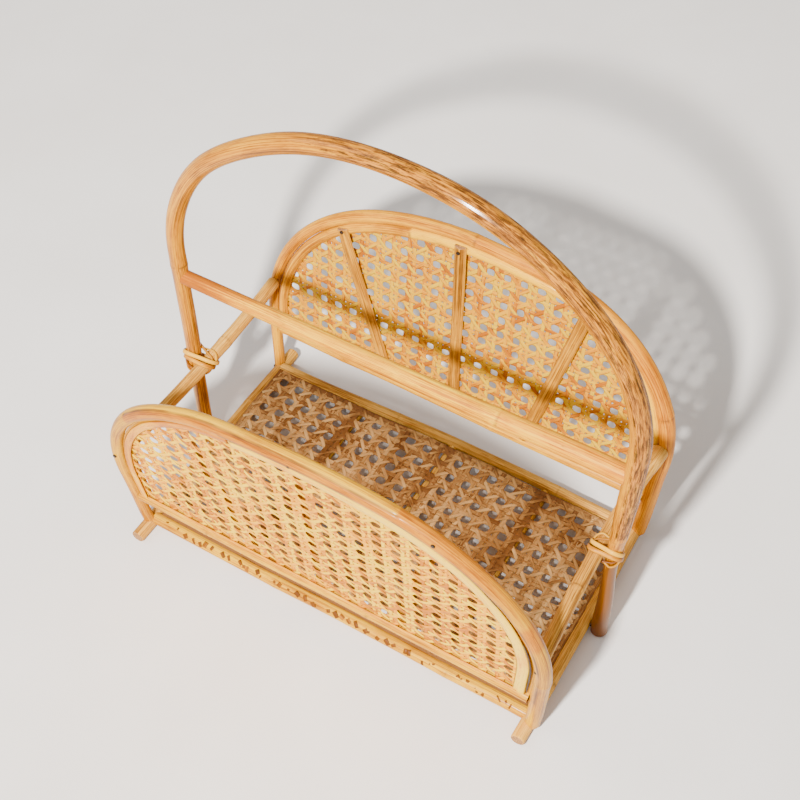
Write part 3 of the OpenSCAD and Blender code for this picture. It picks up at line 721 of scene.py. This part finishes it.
def weave(name, place, inside, extent, pitch, phase, material, slot, node, seed, strand=0.0036, gap=0.0023,
          warp=0.0006, shade=None, spread=0.45, diagonal=1.0):
    """Six-way cane webbing.

    place maps (u, v, w) to the world; inside(u, v) says what is kept; extent is
    (u0, u1, v0, v1); phase is the middle of one hole.  Upright and level
    strands run in pairs, and single diagonals cross them between the pairs."""
    pu, pv = pitch
    u0, u1, v0, v1 = extent
    groups = {"uprights": Ribbons(), "levels": Ribbons(), "rising": Ribbons(), "falling": Ribbons()}
    local = np.random.default_rng(seed)

    def bend(u, v):
        du = warp * (np.sin(u * 61 + v * 23 + seed) + 0.6 * np.sin(v * 97 + u * 41 + 2 * seed))
        dv = warp * (np.sin(v * 71 - u * 29 + 3 * seed) + 0.6 * np.sin(u * 83 + v * 37 + seed))
        return u + du, v + dv

    def lay(kind, u, v, w, width, tone, tag):
        keep = inside(u, v)
        if keep.sum() < 4:
            return
        first, last = np.argmax(keep), len(keep) - np.argmax(keep[::-1])
        u, v, w = u[first:last], v[first:last], w[first:last]
        u, v = bend(u, v)
        P = place(u, v, w)
        T = np.gradient(P, axis=0)
        T /= np.linalg.norm(T, axis=1)[:, None]
        up = place(u, v, w + 0.001) - P
        up /= np.linalg.norm(up, axis=1)[:, None]
        across = np.cross(up, T)
        across /= np.linalg.norm(across, axis=1)[:, None]
        up = np.cross(T, across)
        extra = 0 if shade is None else shade(kind, tag, u, v)
        s = np.arange(len(u)) * 0.002
        wide = width * (1 + 0.05 * wander(s, 0.02, int(tag * 13 + seed) % 997))
        shades = tone + 0.35 * wander(s, 0.03, int(tag * 7 + seed) % 991) + extra
        groups[kind].add(P, across, up, wide, STRAND_T, tone=shades, seed=float(local.uniform(0, 40)))

    # Lines of pairs lie half a pitch from a hole's middle
    cu, cv = phase[0] + pu / 2, phase[1] + pv / 2
    step = 1 / 7
    i0, i1 = int((u0 - cu) / pu) - 1, int((u1 - cu) / pu) + 2
    j0, j1 = int((v0 - cv) / pv) - 1, int((v1 - cv) / pv) + 2
    along_v = np.arange((v0 - cv) / pv, (v1 - cv) / pv, step)
    along_u = np.arange((u0 - cu) / pu, (u1 - cu) / pu, step)

    def pair_wave(q):
        """A strand dips under and over its partners where two pairs cross, at whole q."""
        near = (q + 0.5) % 1 - 0.5
        return PAIR_WAVE * np.sin(near * TAU * 1.6) * np.exp(-(near / 0.2) ** 2)

    for i in range(i0, i1):
        for k in (0, 1):
            q = along_v
            wave = pair_wave(q) * (1 if (i + k) % 2 else -1)
            off = (k - 0.5) * 2 * gap + local.normal(0, 0.00018)
            lay("uprights", np.full(len(q), cu + i * pu + off), cv + q * pv, wave,
                strand * local.uniform(0.93, 1.07), local.normal(0, spread), 2 * i + k + 300)
    for j in range(j0, j1):
        for k in (0, 1):
            q = along_u
            wave = -pair_wave(q) * (1 if (j + k) % 2 else -1)
            off = (k - 0.5) * 2 * gap + local.normal(0, 0.00018)
            lay("levels", cu + q * pu, np.full(len(q), cv + j * pv + off), wave,
                strand * local.uniform(0.93, 1.07), local.normal(0, spread), 2 * j + k + 700)
    # On a diagonal, u/pu -/+ v/pv is half of an odd number
    for kind, sign in (("rising", 1), ("falling", -1)):
        for k in range(i0 - (j1 - j0) - 2, i1 + (j1 - j0) + 2):
            q = along_v
            qu = (k + 0.5) + sign * q
            # On an upright pair qu is whole, and on a level pair q is whole
            wave = DIAGONAL_WAVE * np.cos(TAU * qu) * sign
            off = local.normal(0, 0.0002)
            lay(kind, cu + qu * pu + off, cv + q * pv, wave, diagonal * strand * local.uniform(0.9, 1.05),
                local.normal(0.15, spread), k + 1300 + 200 * (sign + 1))
    for kind, ribbons in groups.items():
        ribbons.build(f"{name}_{kind}", material, slot, [node])


def panel_test(label):
    """What part of a panel its webbing covers."""
    lines = [arch_half(**half, inset=0.0125, start=0.0) for half in HOOP_HALVES[label]]

    def inside(u, v):
        keep = v > rail_v(label, u) + 0.003
        for sign, line in zip((-1, 1), lines):
            crown = np.argmax(line[:, 0])
            top = np.interp(np.abs(u), line[crown:][::-1, 0], line[crown:][::-1, 1])
            leg = np.interp(v, line[:crown + 1, 1], line[:crown + 1, 0])
            good = (v < top) & (np.abs(u) < line[:, 0].max()) & (np.abs(u) < leg)
            keep = keep & ((np.sign(u) != sign) | good)
        return keep

    return inside


def back_shade(kind, tag, u, v):
    """A band of darker strands, a painted shadow of the divider, crosses the back panel; a rising diagonal and
    some uprights are darker too.
    """
    # Painted shadow of the divider: the band of darker strands
    band = -0.4 * np.exp(-((v - 0.145 + 0.05 * u) / 0.006) ** 2) * (kind in ("levels", "rising"))
    dark_diagonal = -1.4 * (kind == "rising") * np.exp(-((u - 0.005 - (v - 0.125) * 0.9) / 0.004) ** 2)
    dark_uprights = -1.0 * (kind == "uprights") * np.exp(-((u + 0.04) / 0.004) ** 2) * smooth(0.155, 0.13, v)
    return band + dark_diagonal + dark_uprights


def floor_shade(kind, tag, u, v):
    """Painted shade darkens the webbing over the cross bars and a painted shadow of the front panel darkens it
    along the front rail; it is also darker towards the back rail.
    """
    # Painted shade over the cross bars
    bars = sum(np.exp(-((u - x) / 0.006) ** 2) for x in (-0.092, 0.005, 0.102))
    # The front edge is a painted shadow of the front panel; the back edge is darker
    edges = -0.4 * smooth(0.07, 0.1, v) - 1.6 * smooth(-0.080, -0.092, v)
    return -0.7 * bars + edges + 0.15 * (kind in ("rising", "falling"))


for label, side, pitch, phase, mat, seed, shade in (
        ("front", -1, (0.0156, 0.0142), (-0.003, 0.062), front_cane_mat, 5, None),
        ("back", 1, (0.0158, 0.0154), (0.002, 0.0756), back_cane_mat, 9, back_shade)):
    wide = dict(strand=0.0039, gap=0.0025, spread=0.3) if label == "back" else {}
    weave(label + "_cane", lambda u, v, w, side=side: panel_point(u, v, w, side), panel_test(label),
          (-0.186, 0.186, 0.036, 0.235), pitch, phase, mat, "panel_cane", label + "_cane", seed, shade=shade,
          **wide)


def inside_floor(u, v):
    return (np.abs(u) < 0.1845) & (np.abs(v) < 0.0975)


weave("floor_cane", lambda u, v, w: np.stack(np.broadcast_arrays(u, v, FLOOR_Z + w), -1), inside_floor,
      (-0.187, 0.187, -0.1, 0.1), (0.0175, 0.017), (0.003, 0.0), floor_cane_mat, "base_cane", "floor_cane", 13,
      strand=0.0048, gap=0.0025, warp=0.0008, shade=floor_shade, spread=0.22, diagonal=0.72)


# ---------------------------------------------------------------- binders
def strip_frame(P, side):
    """Directions across and up for a flat strip that lies on a panel."""
    T = np.gradient(P, axis=0)
    T /= np.linalg.norm(T, axis=1)[:, None]
    across = np.cross(np.broadcast_to(panel_out(side), P.shape), T)
    return across, np.cross(T, across)


def binder(label, side):
    """A flat strip over the webbing's edge, in two lengths.  The right length on
    the front stands off from the hoop, which leaves a dark line."""
    foot = RAIL_V + 0.004 + (BACK_RISE / 2 if label == "back" else 0)
    r = Ribbons()
    # From and to, as shares of the arch, then inset, width and shade
    if label == "front":
        spans = ((0.0, 0.397, 0.0116, 0.0074, -0.3), (0.401, 1.0, None, None, 0.45))
    else:
        # The back's right length is lightened as a painted highlight; its left length is darker
        spans = ((0.0, 0.414, INSET, 0.0076, -0.5), (0.418, 1.0, INSET + 0.0004, 0.0076, 0.8))
    for lo, hi, inset, width, shade in spans:
        line = resample(arch_line(*HOOP_HALVES[label], inset=inset or 0.0105, start=foot), 0.0016)
        share = np.linspace(0, 1, len(line))
        if width is None:
            # The wide length grows from 8 to 11 mm and keeps its outer edge
            width = 0.0078 + 0.0032 * smooth(0.4, 0.68, share)
            normal = np.stack([-np.gradient(line[:, 1]), np.gradient(line[:, 0])], 1)
            line = line - normal / np.linalg.norm(normal, axis=1)[:, None] * width[:, None] / 2
            width = width[(share >= lo) & (share <= hi)]
        keep = (share >= lo) & (share <= hi)
        line, share = line[keep], share[keep]
        P = panel_point(line[:, 0], line[:, 1], 0.00155, side)
        across, up = strip_frame(P, side)
        r.add(P, across, up, width * (1 + 0.05 * wander(share, 0.05, 3)), 0.0015,
              tone=shade + 0.4 * wander(share, 0.06, 5), seed=lo)
    if label == "front":
        # Painted shade: a thin dark strip fills the narrow gap where the strip stands off, in place of the
        # shadow in that slot
        line = resample(arch_line(*HOOP_HALVES[label], inset=0.0097, start=foot), 0.0016)
        share = np.linspace(0, 1, len(line))
        for lo, hi in ((0.399, 0.573), (0.631, 0.668), (0.753, 0.779), (0.85, 0.99)):
            keep = (share >= lo) & (share <= hi)
            P = panel_point(line[keep, 0], line[keep, 1], 0.0018, side)
            across, up = strip_frame(P, side)
            taper = np.sin(np.pi * np.linspace(0.06, 0.94, len(P))) ** 0.4
            r.add(P, across, up, 0.0018 * taper, 0.0006, tone=-2.0, dirt=1.0, seed=hi)
    return r


for label, side in (("front", -1), ("back", 1)):
    binder(label, side).build(label + "_binder_strip", binding_mat, "binding_cane", [label + "_binder"])

r = Ribbons()
u = np.linspace(-0.1765, 0.1765, 160)
P = panel_point(u, 0.0465, 0.0016, -1)
up = np.broadcast_to(panel_out(-1), P.shape)
across = np.cross(up, np.broadcast_to([1.0, 0, 0], P.shape))
r.add(P, across, up, 0.0044, 0.0015, tone=-0.1)
r.build("front_bottom_binder_strip", binding_mat, "binding_cane", ["front_bottom_binder"])


# ---------------------------------------------------------------- lashings
def turn_line(slope, offset, lift, leg_r, leg_bend):
    """One turn of cane in a sloping plane round a handle leg and an arm rail."""
    t = np.linspace(0, TAU, 72, endpoint=False)
    on_leg = np.cos(t) > 0
    mx = np.where(on_leg, handle_x(ARM_Z) - leg_bend, mid_x)
    rr = np.where(on_leg, leg_r, 0.006)
    stretch = np.where(on_leg, abs(1 / math.sin(slope)), 1 / math.cos(slope))
    shift = np.where(on_leg, -offset / math.tan(slope), offset * math.tan(slope))
    along = shift + (rr * stretch + lift) * np.sin(t)
    x = mx + (rr + lift) * np.cos(t)
    y = along * math.sin(slope) + offset * math.cos(slope)
    z = ARM_Z + along * math.cos(slope) - offset * math.sin(slope)
    return np.stack([x, y, z], -1)


for label, sx, leg_r, leg_bend, seed in (("left", -1, 0.0069, 0.0013, 3), ("right", 1, 0.0058, 0.0026, 8)):
    r = Ribbons()
    for slope, lift in ((math.radians(42), 0.0009), (math.radians(-42), 0.0022)):
        for offset in (-0.0021, 0.0021):
            q = turn_line(slope, offset, lift, leg_r, leg_bend)
            T = np.roll(q, -1, 0) - np.roll(q, 1, 0)
            T /= np.linalg.norm(T, axis=1)[:, None]
            across = np.broadcast_to(np.array([0, math.cos(slope), -math.sin(slope)]), q.shape)
            up = np.cross(across, T)
            m = np.array([sx, 1, 1])
            r.add(q * m, across * m, up * m, 0.0039, 0.0016, closed=True, seed=seed + offset * 1000,
                  tone=0.3 * np.sin(np.linspace(0, TAU, len(q))) + offset * 160)
    r.build(label + "_lashing_strip", lash_mat, "binding_cane", [label + "_lashing"])

# The floor webbing is stitched round the base front rail
r = Ribbons()
stitch_rng = np.random.default_rng(31)
STITCH_R = 0.0055
for k in range(46):
    x0 = -0.174 + 0.0077 * k + stitch_rng.uniform(-0.0035, 0.0035)
    start = math.radians(95 + stitch_rng.uniform(0, 40))
    t = np.linspace(start, start + math.radians(stitch_rng.uniform(12, 52)), 14)
    x = x0 + 0.0040 * stitch_rng.uniform(-0.3, 1.2) * np.linspace(0, 1, 14)
    P = np.stack([x, -BASE_RAIL_Y + STITCH_R * np.cos(t), BASE_RAIL_Z + STITCH_R * np.sin(t)], -1)
    up = np.stack([np.zeros(14), np.cos(t), np.sin(t)], -1)
    T = np.gradient(P, axis=0)
    T /= np.linalg.norm(T, axis=1)[:, None]
    across = np.cross(up, T)
    r.add(P, across, up, 0.0016 + stitch_rng.uniform(0, 0.0026), 0.0006, tone=stitch_rng.uniform(-2.0, -0.2),
          dirt=stitch_rng.uniform(-0.3, 0.7), seed=float(k))
r.build("front_stitches", stitch_mat, "base_cane", ["floor_cane"])

for name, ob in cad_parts.items():
    if name.endswith("nails") and name != "divider_nails":
        ob.data.materials.clear()
        ob.data.materials.append(nail_mat)

# The divider's nails have their heads down on the handle's thin left leg and its thicker right one
cos, faces = [], []
NAIL_SIDES = 16
# Radius, and height over the handle, from the head to the tip
NAIL_PROFILE = ((0.0010, 0.00038), (0.0015, 0.00015), (0.0016, -0.0003), (0.0007, -0.0005), (0.0007, -0.010))
NAIL_POINTS = NAIL_SIDES * len(NAIL_PROFILE) + 2
turn = np.arange(NAIL_SIDES)[:, None] / NAIL_SIDES * TAU
for i, (sx, leg_r) in enumerate(((-1, 0.0068), (1, 0.0081))):
    head = np.array([sx * (handle_x(DIVIDER_Z) + leg_r), 0, DIVIDER_Z])
    out = np.array([sx, 0.0, 0.0])
    u = np.array([0, 0, 1.0])
    for r, h in NAIL_PROFILE:
        cos.append(head + out * h + r * (np.cos(turn) * u + np.sin(turn) * np.cross(out, u)))
    cos.append(np.array([head + out * 0.00042, head - out * 0.0102]))
    base = NAIL_POINTS * i
    first = base + np.arange(NAIL_SIDES)
    last = first + NAIL_SIDES * (len(NAIL_PROFILE) - 1)
    faces.append(grid_faces(len(NAIL_PROFILE), NAIL_SIDES, base=base)[:, ::-1])
    faces.append(np.stack([np.full(NAIL_SIDES, base + NAIL_POINTS - 2), first, np.roll(first, -1)], -1))
    faces.append(np.stack([np.full(NAIL_SIDES, base + NAIL_POINTS - 1), np.roll(last, -1), last], -1))
make_mesh("divider_nail_pair", np.vstack(cos), faces, None, nail_mat, ["divider_nails"])

# ---------------------------------------------------------------- stage, light and camera
bpy.ops.mesh.primitive_plane_add(size=40, location=(0, 0, 0))
floor = bpy.context.object
floor.name = "stage_floor"
m = Nodes("stage_cloth")
where = m.add("ShaderNodeTexCoord").outputs["Object"]
cloth = m.ramp(m.noise(m.scaled(where, (6, 6, 6)), detail=3),
               [(0.3, linear(226, 221, 216)), (0.7, linear(232, 228, 224))])
m.link(cloth, m.bsdf.inputs["Base Color"])
m.bsdf.inputs["Roughness"].default_value = 0.95
m.bsdf.inputs["Specular IOR Level"].default_value = 0.1
m.link(m.bump(m.noise(m.scaled(where, (1400, 1400, 1400)), detail=1), 0.25, 0.0006), m.bsdf.inputs["Normal"])
floor.data.materials.append(m.mat)

world = bpy.data.worlds.new("soft_room")
bpy.context.scene.world = world
world.use_nodes = True
background = world.node_tree.nodes["Background"]
background.inputs[0].default_value = (1.0, 0.985, 0.965, 1)
background.inputs[1].default_value = 0.66


def area_light(name, at, target, size, power, colour):
    data = bpy.data.lights.new(name, "AREA")
    data.shape = "DISK"
    data.size = size
    data.energy = power
    data.color = colour
    ob = bpy.data.objects.new(name, data)
    ob.location = at
    ob.rotation_euler = (Vector(target) - Vector(at)).to_track_quat("-Z", "Y").to_euler()
    bpy.context.scene.collection.objects.link(ob)
    return data


key = area_light("key", (0.112, -0.898, 0.981), (0, 0, 0.1), 0.085, 30.0, (1.0, 0.965, 0.92))
# The lamp lights the far floor as evenly as a window does
key.use_nodes = True
falloff = key.node_tree.nodes.new("ShaderNodeLightFalloff")
falloff.inputs["Strength"].default_value = 1.0
key.node_tree.links.new(falloff.outputs["Constant"], key.node_tree.nodes["Emission"].inputs["Strength"])
area_light("fill", (-1.6, -0.9, 1.9), (0, 0, 0.1), 1.6, 20.0, (1.0, 0.98, 0.96))

# The camera stands to the right of the front, looking down
CAMERA_AZ, CAMERA_EL, CAMERA_ROLL = (math.radians(v) for v in (30.176, 50.975, 0.212))
CAMERA_AT = (0.3205, -0.5390, 0.9570)
forward = np.array([-math.sin(CAMERA_AZ) * math.cos(CAMERA_EL), math.cos(CAMERA_AZ) * math.cos(CAMERA_EL),
                    -math.sin(CAMERA_EL)])
level = np.array([math.cos(CAMERA_AZ), math.sin(CAMERA_AZ), 0])
above = np.cross(level, forward)
right = math.cos(CAMERA_ROLL) * level + math.sin(CAMERA_ROLL) * above
upward = -math.sin(CAMERA_ROLL) * level + math.cos(CAMERA_ROLL) * above
camera_data = bpy.data.cameras.new("camera")
camera_data.lens = 57.11
camera_data.sensor_width = 36
camera = bpy.data.objects.new("camera", camera_data)
camera.matrix_world = Matrix([[right[i], upward[i], -forward[i], CAMERA_AT[i]] for i in range(3)]
                             + [[0, 0, 0, 1]])
bpy.context.scene.collection.objects.link(camera)
bpy.context.scene.camera = camera
